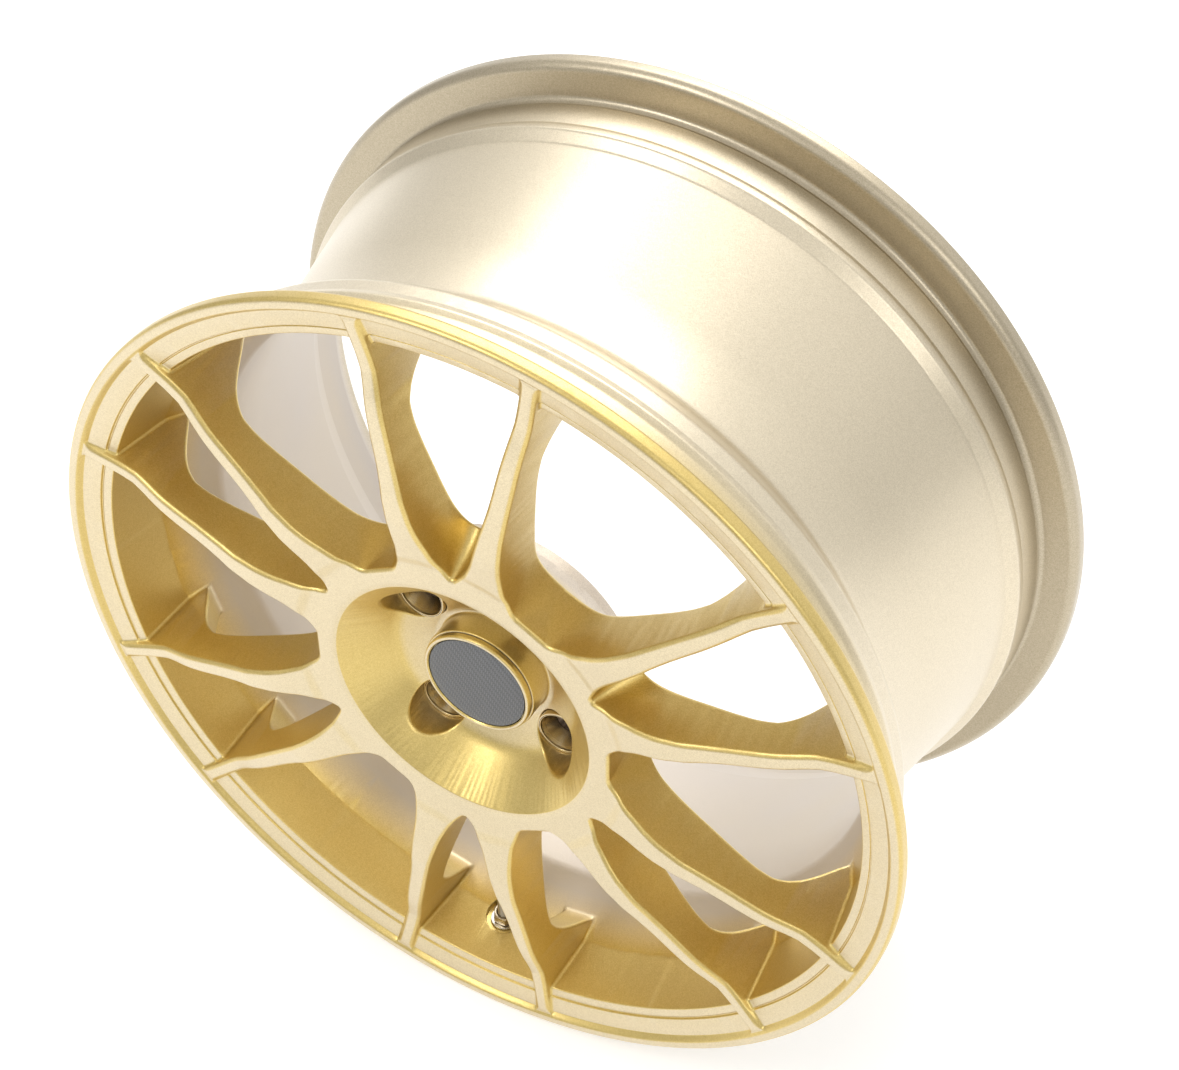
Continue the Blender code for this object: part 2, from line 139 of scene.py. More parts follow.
# Corners of the rim's section: (radius, depth, rounding).
RIM = ((228.1, 3.3, 0.3), (228.9, 1.9, 0.5), (230.4, 0.0, 2.2), (FLANGE_R, 0.0, 4.0),
       (FLANGE_R, 8.9, 3.4), (227.0, 10.5, 8.0), (218.0, 11.5, 4.0), (216.6, 15.6, 1.0),
       (217.6, 17.2, 1.2), (217.1, 30.0, 3.0), (218.3, 34.0, 3.0), (216.7, 38.5, 3.0),
       (216.2, 48.0, 7.0), (196.0, 70.2, 14.0), (196.0, 98.0, 160.0), (211.2, 181.2, 3.0),
       (216.4, 186.4, 2.6), (216.2, 190.8, 2.0), (215.4, 193.4, 2.0), (217.1, 208.2, 1.0),
       (215.9, 210.4, 0.8), (217.4, 213.6, 3.0), (FLANGE_R, 215.2, 8.0), (FLANGE_R, RIM_DEPTH, 1.4),
       (226.8, RIM_DEPTH, 3.0), (214.6, 219.4, 5.0), (212.3, 209.6, 3.0), (212.2, 192.4, 0.8),
       (206.9, 181.4, 1.5), (191.4, 98.4, 155.0), (191.4, 71.6, 12.0), (201.2, 51.8, 2.2),
       (207.6, 39.9, 1.6), (208.1, 37.9, 1.0), (213.1, 7.5, 0.9), (217.5, 6.3, 0.3),
       (217.8, 6.9, 0.2), (218.4, 6.7, 0.2), (218.6, 5.5, 0.4))

CAMERA_LENS = 71.42
CAMERA_PLACE = (433.6, -632.0, 851.7)           # the second number is from the rim's front edge
CAMERA_FORWARD = (-0.3558, 0.6270, -0.6930)
CAMERA_RIGHT = (0.8697, 0.4936, 0.0)
# Lamps that face the wheel's middle: place and size in metres, and watts.
LAMPS = {"top_back": ((-0.6, 2.1, 2.3), (2.6, 1.4), 42.0),
         "left_front": ((-1.05, -1.6, 2.0), (0.9, 0.9), 18.0),
         "right_front": ((2.0, -1.2, 1.6), (1.2, 1.2), 10.0)}
# Brightness of the room along an axis: from and to direction, from and to strength. The two add up.
SKY = {"Z": (0.05, 0.8, 0.48, 0.85), "Y": (0.1, 0.7, 0.0, 0.4)}
FLOOR_HALF = 4.0            # metres


# --- curves
def smooth_curve(points):
    """Monotone cubic through (x, y) points, as a function of an array."""
    x, y = np.array(points, float).T
    h = np.diff(x)
    rise = np.diff(y) / h
    slope = np.empty_like(y)
    slope[0], slope[-1] = rise[0], rise[-1]
    before, after = rise[:-1], rise[1:]
    w1, w2 = 2 * h[1:] + h[:-1], h[1:] + 2 * h[:-1]
    same = before * after > 0
    safe_before, safe_after = np.where(same, before, 1.0), np.where(same, after, 1.0)
    slope[1:-1] = np.where(same, (w1 + w2) / (w1 / safe_before + w2 / safe_after), 0.0)

    def value(at):
        at = np.clip(at, x[0], x[-1])
        i = np.clip(np.searchsorted(x, at) - 1, 0, len(h) - 1)
        t = (at - x[i]) / h[i]
        blend = t * t * (3 - 2 * t)
        bulge = t * (1 - t)
        return (y[i] * (1 - blend) + y[i + 1] * blend
                + h[i] * bulge * (slope[i] * (1 - t) - slope[i + 1] * t))

    return value


FACE_INNER = smooth_curve(FACE_IN)
FACE_OUTER = smooth_curve(FACE_OUT)
HALF = smooth_curve(HALF_WIDTH)


def face_depth(r):
    return np.where(r < FACE_IN[-1][0], FACE_INNER(r), FACE_OUTER(r))


def filleted(corners, step=6.0):
    """Closed outline with its corners rounded, an arc point about every step degrees."""
    points = []
    count = len(corners)
    for i, (x, y, radius) in enumerate(corners):
        here = Vector((x, y))
        back = Vector(corners[i - 1][:2]) - here
        ahead = Vector(corners[(i + 1) % count][:2]) - here
        turn = math.pi - back.angle(ahead)
        if radius <= 0 or turn < 1e-3:
            points.append((x, y))
            continue
        reach = radius * math.tan(turn / 2)
        reach = min(reach, 0.49 * back.length, 0.49 * ahead.length)
        radius = reach / math.tan(turn / 2)
        start, end = here + back.normalized() * reach, here + ahead.normalized() * reach
        middle = (back.normalized() + ahead.normalized()).normalized()
        centre = here + middle * (radius / math.cos(turn / 2))
        steps = max(1, int(math.degrees(turn) / step + 0.5))
        first, last = start - centre, end - centre
        for k in range(steps + 1):
            share = k / steps
            spoke = (first * (math.sin((1 - share) * turn) / math.sin(turn))
                     + last * (math.sin(share * turn) / math.sin(turn)))
            points.append(tuple(centre + spoke))
    return points


def disc_outline():
    """Closed side view of hub and spokes, before windows are cut."""
    front_r = np.concatenate([np.arange(74.2, 199.0, 1.5), np.arange(199.0, 226.0, 1.5)])
    front = [(r, float(face_depth(np.array(r))), 0.0) for r in front_r]
    rim_end = [(227.9, 1.3, 0.8), (228.3, 5.6, 0.5), (222.0, 8.3, 1.0), (215.2, 11.5, 1.0),
               (212.2, 38.0, 1.0)]
    rear_curve = smooth_curve(REAR)
    rear = [(r, float(rear_curve(np.array(r))), 0.0) for r in np.arange(203.0, 68.0, -1.5)]
    rear += [(67.3, 56.0, 0.0), (PAD_R, MOUNT_D, 1.0)]
    bore = [(RING_BORE_R, MOUNT_D, 0.6), (RING_BORE_R, RING_SHELF_D, 0.4), (BORE_R, RING_SHELF_D, 0.4)]
    return filleted(front + rim_end + rear + bore + list(BOWL))


class Section:
    """Signed distance to a closed outline in the (radius, depth) plane, kept on a fine grid."""

    def __init__(self, outline, low, high):
        self.low = low
        axes = [start + FIELD_PITCH * np.arange(int((end - start) / FIELD_PITCH) + 2)
                for start, end in zip(low, high)]
        gr, gd = np.meshgrid(*axes, indexing="ij")
        nearest = np.full(gr.shape, 1e9, np.float32)
        crossings = np.zeros(gr.shape, bool)
        ends = np.array(outline, float)
        for (x0, y0), (x1, y1) in zip(ends, np.roll(ends, -1, axis=0)):
            dx, dy = x1 - x0, y1 - y0
            length = dx * dx + dy * dy
            if length < 1e-12:
                continue
            t = np.clip(((gr - x0) * dx + (gd - y0) * dy) / length, 0, 1)
            gap = (gr - x0 - t * dx) ** 2 + (gd - y0 - t * dy) ** 2
            nearest = np.minimum(nearest, gap)
            if abs(dy) > 1e-12:
                spans = (gd < y0) != (gd < y1)
                crossings ^= spans & (gr < x0 + (gd - y0) * dx / dy)
        self.grid = np.where(crossings, -1, 1) * np.sqrt(nearest)

    def __call__(self, r, d):
        x = np.clip((r - self.low[0]) / FIELD_PITCH, 0, self.grid.shape[0] - 1.001)
        y = np.clip((d - self.low[1]) / FIELD_PITCH, 0, self.grid.shape[1] - 1.001)
        i, j = x.astype(int), y.astype(int)
        u, v = x - i, y - j
        g = self.grid
        return ((g[i, j] * (1 - u) + g[i + 1, j] * u) * (1 - v)
                + (g[i, j + 1] * (1 - u) + g[i + 1, j + 1] * u) * v)


# --- the forging's field
def soft_max(a, b, k):
    """The larger of a and b, blended where they differ by less than k."""
    return np.maximum(a, b) + np.maximum(k - np.abs(a - b), 0) ** 2 / (4 * k)


def soft_min(a, b, k):
    return -soft_max(-a, -b, k)


DISC = Section(disc_outline(), (24, -9), (232, 67))
RIM_SECTION = Section(filleted(RIM), (186, -4), (240, 229))


def edge_field(width, below):
    """How far a side that starts width away at the face, with its break and draft, is passed."""
    soft = math.sqrt(0.5)
    broken = (width - below * BREAK_W / BREAK_D) * (BREAK_D / math.hypot(BREAK_W, BREAK_D))
    drafted = width - BREAK_W - DRAFT * (below - BREAK_D)
    return soft_max(broken, drafted, soft)


def spokes_field(r, fold, below):
    """Hub and spokes in plan; fold is the angle from the nearest pair's middle."""
    half = HALF(r)
    near = edge_field(np.abs(r * np.sin(np.radians(fold - SPOKE_ANGLE))) - half, below)
    far = edge_field(np.abs(r * np.sin(np.radians(fold + SPOKE_ANGLE))) - half, below)
    deep = np.clip(below, 0, FILLET_END_D)
    pair = soft_min(near, far, FORK_FILLET[0] + FORK_FILLET[1] * deep)
    hub = edge_field(r * np.cos(np.radians(PAIR_STEP / 2 - fold)) - WIDE_END, below)
    hub = np.where(fold > SPOKE_ANGLE, hub, FAR)
    return soft_min(pair, hub, HUB_FILLET[0] + HUB_FILLET[1] * deep)


def lug_field(x, z, d):
    """Bolt pockets, negative in the void."""
    void = np.full(np.broadcast(x, z, d).shape, FAR)
    for angle in LUG_ANGLES:
        a = math.radians(angle)
        off = np.hypot(x - LUG_R * math.cos(a), z - LUG_R * math.sin(a))
        pocket = np.maximum(off - POCKET_R, d - POCKET_D)
        void = np.minimum(void, np.minimum(pocket, off - BOLT_R))
    return void


def valve_field(r, fold, d):
    """Valve hole and its spot faces, negative in the void."""
    f = np.radians(fold)
    off = np.hypot(r * np.sin(f), d - VALVE_D)
    height = r * np.cos(f)
    inner = np.maximum(off - NUT_FLAT_R, height - NUT_FLAT_H)
    outer = np.maximum(off - GROMMET_FLAT_R, GROMMET_FLAT_H - height)
    void = np.minimum(np.minimum(inner, outer), off - VALVE_HOLE_R)
    return np.maximum(void, VALVE_CUT_H - height)


def forging_field(r, angle, d, lugs=False, valve=False):
    """Signed distance in millimetres, roughly: negative in the metal. angle is degrees from +X to +Z."""
    fold = np.abs((angle + 90.0 + PAIR_STEP / 2) % PAIR_STEP - PAIR_STEP / 2)
    below = d - face_depth(r)
    disc = DISC(r, d)
    rounding = 0.5 + 1.7 * np.clip((below - 4) / 10, 0, 1)
    body = soft_max(disc, spokes_field(r, fold, below), rounding)
    body = soft_min(body, RIM_SECTION(r, d), RIM_FILLET)
    if lugs:
        a = np.radians(angle)
        body = soft_max(body, -lug_field(r * np.cos(a), r * np.sin(a), d), POCKET_EDGE)
    if valve:
        turn = np.abs((angle + 90.0 + 180.0) % 360.0 - 180.0)
        body = soft_max(body, -valve_field(r, np.minimum(turn, 20.0), d), VALVE_EDGE)
    return body


# --- surface net
def net(values):
    """Cell points (in grid steps), cell numbers, and quads of a sampled field whose second axis wraps."""
    rows, columns, levels = values.shape
    cell_ids, cell_points, quads, wrapped = [], [], [], []
    for axis, (u, v) in enumerate(((1, 2), (2, 0), (0, 1))):
        ahead = np.roll(values, -1, axis=axis)
        crossing = (values < 0) != (ahead < 0)
        if axis != 1:
            end = [slice(None)] * 3
            end[axis] = -1
            crossing[tuple(end)] = False
        index = np.array(np.nonzero(crossing))
        a, b = values[tuple(index)], ahead[tuple(index)]
        point = index.astype(float)
        point[axis] += a / (a - b)
        corners, usable, seam = [], np.ones(len(a), bool), np.zeros(len(a), bool)
        for du, dv in ((0, 0), (-1, 0), (-1, -1), (0, -1)):
            cell = index.copy()
            cell[u] += du
            cell[v] += dv
            here = point.copy()
            before = cell[1] < 0
            cell[1][before] += columns
            here[1][before] += columns
            seam |= before
            good = (cell[0] >= 0) & (cell[0] < rows - 1) & (cell[2] >= 0) & (cell[2] < levels - 1)
            number = (cell[0] * columns + cell[1]) * levels + cell[2]
            cell_ids.append(number[good])
            cell_points.append(here[:, good])
            corners.append(number)
            usable &= good
        quad = np.array(corners).T
        quad[a < 0] = quad[a < 0][:, ::-1]
        quads.append(quad[usable])
        wrapped.append(seam[usable])
    ids = np.concatenate(cell_ids)
    points = np.concatenate(cell_points, axis=1)
    cells, inverse, count = np.unique(ids, return_inverse=True, return_counts=True)
    mean = np.array([np.bincount(inverse, weights=row) / count for row in points])
    quads = np.concatenate(quads)
    return cells, mean, np.searchsorted(cells, quads), np.concatenate(wrapped)


def settle(r, angle, d, field, passes=2):
    """Moves points onto the field's zero surface."""
    for _ in range(passes):
        value = field(r, angle, d)
        slope = gradient(r, angle, d, field)
        size = np.maximum((slope ** 2).sum(axis=0), 0.2)
        step = np.clip(value / size, -0.4, 0.4)
        r = r - step * slope[0]
        angle = angle - np.degrees(step * slope[1] / r)
        d = d - step * slope[2]
    return r, angle, d


def gradient(r, angle, d, field, h=0.2):
    turn = np.degrees(h / r)
    return np.array([field(r + h, angle, d) - field(r - h, angle, d),
                     field(r, angle + turn, d) - field(r, angle - turn, d),
                     field(r, angle, d + h) - field(r, angle, d - h)]) / (2 * h)


def to_world(r, angle, d):
    a = np.radians(angle)
    y = d - RIM_DEPTH + REAR_Y
    return np.array([r * np.cos(a), y, r * np.sin(a)]).T * MM


def spaced(*stretches):
    """Grid lines: each stretch is (start, end, largest step)."""
    lines = []
    for start, end, step in stretches:
        count = max(1, int(math.ceil((end - start) / step)))
        lines.append(start + (end - start) * np.arange(count) / count)
    return np.concatenate(lines + [[stretches[-1][1]]])


def sampled(rs, angles, ds, field):
    """Field values on the grid, worked out a slice at a time to save memory."""
    values = np.empty((len(rs), len(angles), len(ds)), np.float32)
    for i in range(0, len(rs), 16):
        block = rs[i:i + 16]
        values[i:i + 16] = field(block[:, None, None], angles[None, :, None], ds[None, None, :])
    return values


def grid_mesh(rs, angles, ds, period, field):
    """Points (radius, angle, depth), quads, wrapping quads and cell places of the field's surface."""
    values = sampled(rs, angles, ds, field)
    cells, mean, quads, wrapped = net(values)
    wrap_angles = np.append(angles, angles[0] + period)
    r = np.interp(mean[0], np.arange(len(rs)), rs)
    angle = np.interp(mean[1], np.arange(len(wrap_angles)), wrap_angles)
    d = np.interp(mean[2], np.arange(len(ds)), ds)
    place = np.array([cells // (len(angles) * len(ds)), cells // len(ds) % len(angles), cells % len(ds)])
    return np.array(settle(r, angle, d, field)), quads[~wrapped], quads[wrapped], place


def add_object(name, data):
    obj = bpy.data.objects.new(name, data)
    bpy.context.scene.collection.objects.link(obj)
    return obj


def mesh_of(bm, name):
    mesh = bpy.data.meshes.new(name)
    bm.to_mesh(mesh)
    bm.free()
    return mesh


def thinned(name, points, faces, locked, triangles):
    """A mesh of about so many triangles after Blender's Decimate, with locked points kept."""
    mesh = bpy.data.meshes.new(name)
    mesh.from_pydata(points.tolist(), [], faces.tolist())
    obj = add_object(name, mesh)
    group = obj.vertex_groups.new(name="free")
    group.add(np.nonzero(~locked)[0].tolist(), 1.0, "REPLACE")
    mod = obj.modifiers.new("thin", "DECIMATE")
    mod.ratio = min(1.0, triangles / (2 * len(faces)))
    mod.vertex_group = group.name
    result = bpy.data.meshes.new_from_object(obj.evaluated_get(bpy.context.evaluated_depsgraph_get()))
    bpy.data.objects.remove(obj)
    bpy.data.meshes.remove(mesh)
    return result


def add_mesh(bm, mesh, turn=0.0):
    """Adds a mesh to a bmesh, turned about the spin axis by degrees."""
    mesh = mesh.copy()
    mesh.transform(Matrix.Rotation(math.radians(-turn), 4, "Y"))
    bm.from_mesh(mesh)
    bpy.data.meshes.remove(mesh)


def plain_mesh(points, faces):
    mesh = bpy.data.meshes.new("part")
    used = np.unique(faces)
    mesh.from_pydata(points[used].tolist(), [], np.searchsorted(used, faces).tolist())
    return mesh


def add_zip(bm, loop_a, loop_b):
    """Triangles between two closed loops of points round the spin axis, both as (angle, point) rows."""
    loops = []
    for loop in (loop_a, loop_b):
        loop = sorted(loop)
        verts = [bm.verts.new(point) for _, point in loop]
        angles = [angle for angle, _ in loop]
        loops.append((angles + [angles[0] + 360.0], verts + [verts[0]]))
    (a_angles, a), (b_angles, b) = loops
    i = j = 0
    while i < len(a) - 1 or j < len(b) - 1:
        step_a = j == len(b) - 1 or (i < len(a) - 1 and a_angles[i + 1] <= b_angles[j + 1])
        if step_a:
            bm.faces.new((a[i], a[i + 1], b[j]))
            i += 1
        else:
            bm.faces.new((a[i], b[j + 1], b[j]))
            j += 1


# --- the forging's mesh
def spokes_zone(valve):
    """A pair of spokes with its sixth of the rim's front: a mesh, its seam strip and its edge loops."""
    wide, fine = 0.28 * GRID_SCALE, 0.12 * GRID_SCALE
    a, b = SPOKE_ANGLE - 3.5, SPOKE_ANGLE + 3.5
    folds = ((-30, -b, wide), (-b, -a, fine), (-a, a, wide), (a, b, fine), (b, 30, wide))
    angles = spaced(*folds)[:-1] - 90.0
    rs = spaced((HUB_SEAM, 100, 0.6 * GRID_SCALE), (100, 205, 0.9 * GRID_SCALE),
                (205, 237, 0.5 * GRID_SCALE))
    ds = spaced((-7.5, 9, 0.5 * GRID_SCALE), (9, BARREL_SEAM, 0.8 * GRID_SCALE))

    def field(r, angle, d):
        return forging_field(r, angle, d, valve=valve)

    points, quads, wrapped, place = grid_mesh(rs, angles, ds, PAIR_STEP, field)
    world = to_world(*points)
    last = len(angles) - 1
    at_hub, at_barrel = place[0] == 0, place[2] == len(ds) - 2
    locked = at_hub | at_barrel | (place[1] == 0) | (place[1] == last)
    mesh = thinned("spokes", world, quads, locked, SPOKES_TRIANGLES)
    turned_back = to_world(points[0], points[1] - PAIR_STEP * (place[1] == last), points[2])
    strip = plain_mesh(turned_back, wrapped)
    loops = {"hub_front": at_hub & (points[2] < FRONT_SKIN_D),
             "hub_rear": at_hub & (points[2] > FRONT_SKIN_D),
             "barrel_outer": at_barrel & (points[0] > OUTER_SKIN_R),
             "barrel_inner": at_barrel & (points[0] < OUTER_SKIN_R)}
    edges = {}
    for name, mask in loops.items():
        towards = -points[0] if name.startswith("hub") else points[2]
        edges[name] = points[:, outermost(mask, place[1], towards)]
    return mesh, strip, edges


def outermost(mask, column, towards):
    """Of the masked points, the one in each grid column that lies furthest towards the mesh's edge."""
    chosen = np.nonzero(mask)[0]
    order = chosen[np.lexsort((towards[chosen], column[chosen]))]
    last_in_column = np.append(column[order][1:] != column[order][:-1], True)
    return order[last_in_column]


def hub_zone():
    """The hub inside the seam, a full turn: a mesh and its two edge loops."""
    step = 0.6 * GRID_SCALE
    angles = np.arange(0.0, 360.0, step)
    rs = spaced((27.0, HUB_SEAM, step))
    ds = spaced((0.0, 64.8, step))

    def field(r, angle, d):
        return forging_field(r, angle, d, lugs=True)

    points, quads, wrapped, place = grid_mesh(rs, angles, ds, 360.0, field)
    at_seam = place[0] == len(rs) - 2
    mesh = thinned("hub", to_world(*points), np.concatenate([quads, wrapped]), at_seam, HUB_TRIANGLES)
    loops = {"hub_front": at_seam & (points[2] < FRONT_SKIN_D),
             "hub_rear": at_seam & (points[2] > FRONT_SKIN_D)}
    return mesh, {name: points[:, outermost(mask, place[1], points[0])] for name, mask in loops.items()}


def barrel_zone():
    """The barrel behind the seam, turned from the rim's outline: a mesh and its two edge loops."""
    seam = BARREL_SEAM + 0.5
    outline = np.array(filleted(RIM, RIM_ARC_STEP))
    behind = outline[:, 1] > seam
    start = int(np.nonzero(behind & ~np.roll(behind, 1))[0][0])
    order = np.roll(outline, -start, axis=0)
    inside = order[:int(behind.sum())]

    def on_seam(first, second):
        t = (seam - first[1]) / (second[1] - first[1])
        return first + t * (second - first)

    first = on_seam(outline[start - 1], inside[0])
    last = on_seam(order[int(behind.sum())], inside[-1])
    profile = np.vstack([first, inside, last])
    angles = np.arange(BARREL_COLUMNS) * 360.0 / BARREL_COLUMNS
    r, angle = np.meshgrid(profile[:, 0], angles, indexing="ij")
    d = np.repeat(profile[:, 1:], BARREL_COLUMNS, axis=1)
    number = np.arange(r.size).reshape(r.shape)
    ahead = np.roll(number, -1, axis=1)
    quads = np.stack([number[:-1], ahead[:-1], ahead[1:], number[1:]], axis=-1).reshape(-1, 4)
    mesh = plain_mesh(to_world(r.ravel(), angle.ravel(), d.ravel()), quads)
    return mesh, {"barrel_outer": np.array([r[0], angle[0], d[0]]),
                  "barrel_inner": np.array([r[-1], angle[-1], d[-1]])}


def loop_rows(points, copies=1):
    """(angle, place) rows of points, repeated round the wheel a pair of spokes further each time."""
    rows = []
    for copy in range(copies):
        angle = points[1] + PAIR_STEP * copy
        world = to_world(points[0], angle, points[2])
        rows += [(float(a) % 360.0, tuple(p)) for a, p in zip(angle, world)]
    return rows


def forging_mesh():
    """The zones' meshes put together into one closed mesh."""
    bm = bmesh.new()
    plain, strip, edges = spokes_zone(valve=False)
    with_valve, _, _ = spokes_zone(valve=True)
    for copy in range(6):
        add_mesh(bm, plain if copy else with_valve, PAIR_STEP * copy)
        add_mesh(bm, strip, PAIR_STEP * copy)
    hub, hub_edges = hub_zone()
    barrel, barrel_edges = barrel_zone()
    add_mesh(bm, hub)
    add_mesh(bm, barrel)
    for name, points in (hub_edges | barrel_edges).items():
        add_zip(bm, loop_rows(edges[name], 6), loop_rows(points))
    bmesh.ops.remove_doubles(bm, verts=bm.verts, dist=1e-6)
    bmesh.ops.recalc_face_normals(bm, faces=bm.faces)
    return mesh_of(bm, "forged_wheel")


def set_field_normals(mesh):
    """Vertex normals straight from the field, so that thinning leaves no trace in the shading."""
    co = np.empty(len(mesh.vertices) * 3)
    mesh.vertices.foreach_get("co", co)
    x, y, z = co.reshape(-1, 3).T / MM
    r, angle, d = np.hypot(x, z), np.degrees(np.arctan2(z, x)), y - REAR_Y + RIM_DEPTH

    def field(r, angle, d):
        return forging_field(r, angle, d, lugs=True, valve=True)

    radial, turning, deep = gradient(r, angle, d, field)
    c, s = np.cos(np.radians(angle)), np.sin(np.radians(angle))
    normal = np.array([radial * c - turning * s, deep, radial * s + turning * c]).T
    normal /= np.linalg.norm(normal, axis=1, keepdims=True)
    mesh.shade_smooth()
    mesh.normals_split_custom_set_from_vertices(normal.tolist())


def set_zones(mesh):
    """Attributes bare, 1 inside the barrel and on the hub's rear, and pale, 1 outside the barrel, where the
    paint is made paler as a painted highlight.
    """
    count = len(mesh.vertices)
    co, normal = np.empty(count * 3), np.empty(count * 3)
    mesh.vertices.foreach_get("co", co)
    mesh.vertices.foreach_get("normal", normal)
    x, y, z = co.reshape(-1, 3).T / MM
    nx, _, nz = normal.reshape(-1, 3).T
    r, d = np.hypot(x, z), y - REAR_Y + RIM_DEPTH
    inward = -(nx * x + nz * z) / np.maximum(r, 1.0)
    barrel = np.clip((inward + 0.1) / 0.3, 0, 1) * np.clip((d - 44) / 14, 0, 1) * (r > 185) * (d < 214)
    hub = np.clip((d - 34) / 16, 0, 1) * (r < 110)
    mesh.attributes.new("bare", "FLOAT", "POINT").data.foreach_set("value", np.maximum(barrel, hub))
    # pale marks the barrel's outer faces, which the paint makes paler as a painted highlight.
    pale = np.clip((0.2 - inward) / 0.3, 0, 1) * np.clip((d - 12) / 25, 0, 1) * (r > 185)
    mesh.attributes.new("pale", "FLOAT", "POINT").data.foreach_set("value", pale * (d < 213))


# --- small pieces' meshes
def wheel_place(r, a, d):
    """World metres of a radius, an angle in radians and a depth, about the spin axis."""
    return to_world(r, np.degrees(a), d)


def lug_place(angle):
    a0 = math.radians(angle)

    def place(r, a, d):
        x = LUG_R * math.cos(a0) + r * np.cos(a)
        z = LUG_R * math.sin(a0) + r * np.sin(a)
        return np.array([x, d - RIM_DEPTH + REAR_Y, z]).T * MM

    return place


def valve_place(r, a, h):
    """h is the distance below the spin axis; the valve's axis is vertical."""
    y = VALVE_D - RIM_DEPTH + REAR_Y
    return np.array([r * np.cos(a), y + r * np.sin(a), -h]).T * MM


def mesh_from(points, faces, groove):
    """Closed mesh from points and faces, points at the same place made one. groove is kept per point."""
    bm = bmesh.new()
    layer = bm.verts.layers.float.new("groove")
    verts = [bm.verts.new(p) for p in points]
    for vert, value in zip(verts, groove):
        vert[layer] = value
    for face in faces:
        bm.faces.new([verts[i] for i in face])
    bmesh.ops.remove_doubles(bm, verts=bm.verts, dist=1e-7)
    loose = [edge for edge in bm.edges if not edge.link_faces]
    bmesh.ops.delete(bm, geom=loose, context="EDGES")
    bmesh.ops.recalc_face_normals(bm, faces=bm.faces)
    return mesh_of(bm, "part")


def divided(points, low, high, step):
    """Outline with its edges between the places low and high split into steps."""
    result = []
    for (r0, p0), (r1, p1) in zip(points, points[1:] + points[:1]):
        result.append((r0, p0))
        inside = min(p0, p1) > low - 1e-6 and max(p0, p1) < high + 1e-6
        count = int(math.ceil(math.hypot(r1 - r0, p1 - p0) / step)) if inside else 1
        for k in range(1, count):
            result.append((r0 + (r1 - r0) * k / count, p0 + (p1 - p0) * k / count))
    return result


def turned_mesh(corners, place, columns, shape=None, fine=None):
    """Closed mesh turned from (radius, place, rounding) corners. shape(r, a, p) may change a radius."""
    outline = filleted(corners, PIECE_ARC_STEP)
    if fine:
        outline = divided(outline, *fine)
    profile = np.array(outline)
    a = 2 * math.pi * np.arange(columns) / columns
    r, a = np.meshgrid(profile[:, 0], a, indexing="ij")
    p = np.repeat(profile[:, 1:], columns, axis=1)
    if shape:
        r = shape(r, a, p)
    number = np.arange(r.size).reshape(r.shape)
    down, ahead = np.roll(number, -1, axis=0), np.roll(number, -1, axis=1)
    quads = np.stack([number, ahead, np.roll(ahead, -1, axis=0), down], axis=-1).reshape(-1, 4)
    run = np.hypot(*np.diff(np.vstack([profile, profile[:1]]), axis=0).T)
    along = np.repeat(np.cumsum(run), columns)
    return mesh_from(place(r.ravel(), a.ravel(), p.ravel()), quads.tolist(), along)


def wire_mesh(path, radius, sides=12):
    """Round wire along a list of points in metres."""
    path = [Vector(p) for p in path]
    count = len(path)
    points = []
    for i, here in enumerate(path):
        along = (path[min(i + 1, count - 1)] - path[max(i - 1, 0)]).normalized()
        side = along.cross(Vector((0.0, 1.0, 0.0) if abs(along.y) < 0.9 else (1.0, 0.0, 0.0))).normalized()
        up = side.cross(along)
        for k in range(sides):
            b = 2 * math.pi * k / sides
            points.append(here + (side * math.cos(b) + up * math.sin(b)) * radius)
    faces = []
    for i in range(count - 1):
        for k in range(sides):
            here, ahead = i * sides + k, i * sides + (k + 1) % sides
            faces.append((here, ahead, ahead + sides, here + sides))
    faces.append(tuple(range(sides)))
    faces.append(tuple(range((count - 1) * sides, count * sides)))
    groove = np.repeat(np.arange(count) * 0.5, sides)
    return mesh_from(points, faces, groove)


def combined(mesh, tool, operation):
    """Mesh after a Boolean with a tool mesh."""
    obj, other = add_object("work", mesh), add_object("tool", tool)
    mod = obj.modifiers.new("cut", "BOOLEAN")
    mod.object = other
    mod.operation = operation
    mod.solver = "EXACT"
    result = bpy.data.meshes.new_from_object(obj.evaluated_get(bpy.context.evaluated_depsgraph_get()))
    for item in (obj, other):
        bpy.data.objects.remove(item)
    return result


def add_piece(name, mesh, body, slot, material, *nodes, sharp=32.0):
    """A finished piece that stands for CAD nodes and rides on a body. sharp is an edge angle or None."""
    mesh.name = name
    obj = add_object(name, mesh)
    mesh.materials.clear()
    mesh.materials.append(material)
    if sharp:
        mesh.shade_smooth()
        mesh.set_sharp_from_angle(angle=math.radians(sharp))
        weighted = obj.modifiers.new("normals", "WEIGHTED_NORMAL")
        weighted.keep_sharp = True
    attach(obj, body)
    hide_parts(*nodes)
    return obj


def add_turned(name, corners, place, columns, *piece, **more):
    add_piece(name, turned_mesh(corners, place, columns), *piece, **more)


